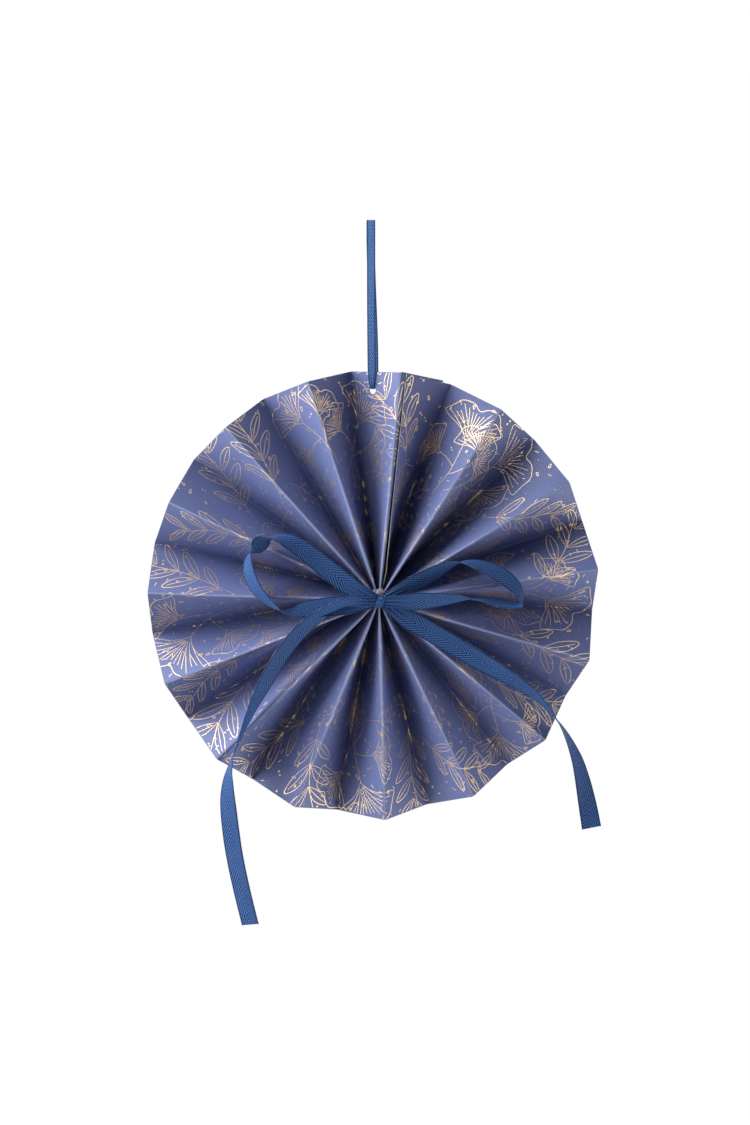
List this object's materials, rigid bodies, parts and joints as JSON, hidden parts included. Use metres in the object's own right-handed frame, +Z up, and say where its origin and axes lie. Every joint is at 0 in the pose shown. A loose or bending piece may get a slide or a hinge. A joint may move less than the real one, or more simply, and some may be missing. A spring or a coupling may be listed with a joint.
{
  "type": "paper fan medallion",
  "caption": "Round accordion-pleated paper rosette with a woven ribbon bow tied at its hub and a narrow ribbon loop through a punched hole for hanging.",
  "frame": {"origin": "middle of the rim circle, at half the depth of the pleats", "axes": "+Z up as it hangs, +X to the right seen from the front, and the front with the bow faces -Y"},
  "size_m": [0.222, 0.0396, 0.3442],
  "materials": {
    "printed_paper": "smooth slate-blue paper with a thin gold foil line print",
    "hot_glue": "cloudy set hot-melt glue",
    "bow_ribbon": "herringbone woven ribbon with fine looped edges",
    "hanging_ribbon": "narrow plain woven ribbon"
  },
  "bodies": {
    "root": {"pleated_fan": "printed_paper", "centre_glue": "hot_glue", "bow_ribbon": "bow_ribbon", "hanging_ribbon": "hanging_ribbon"}
  },
  "joints": []
}
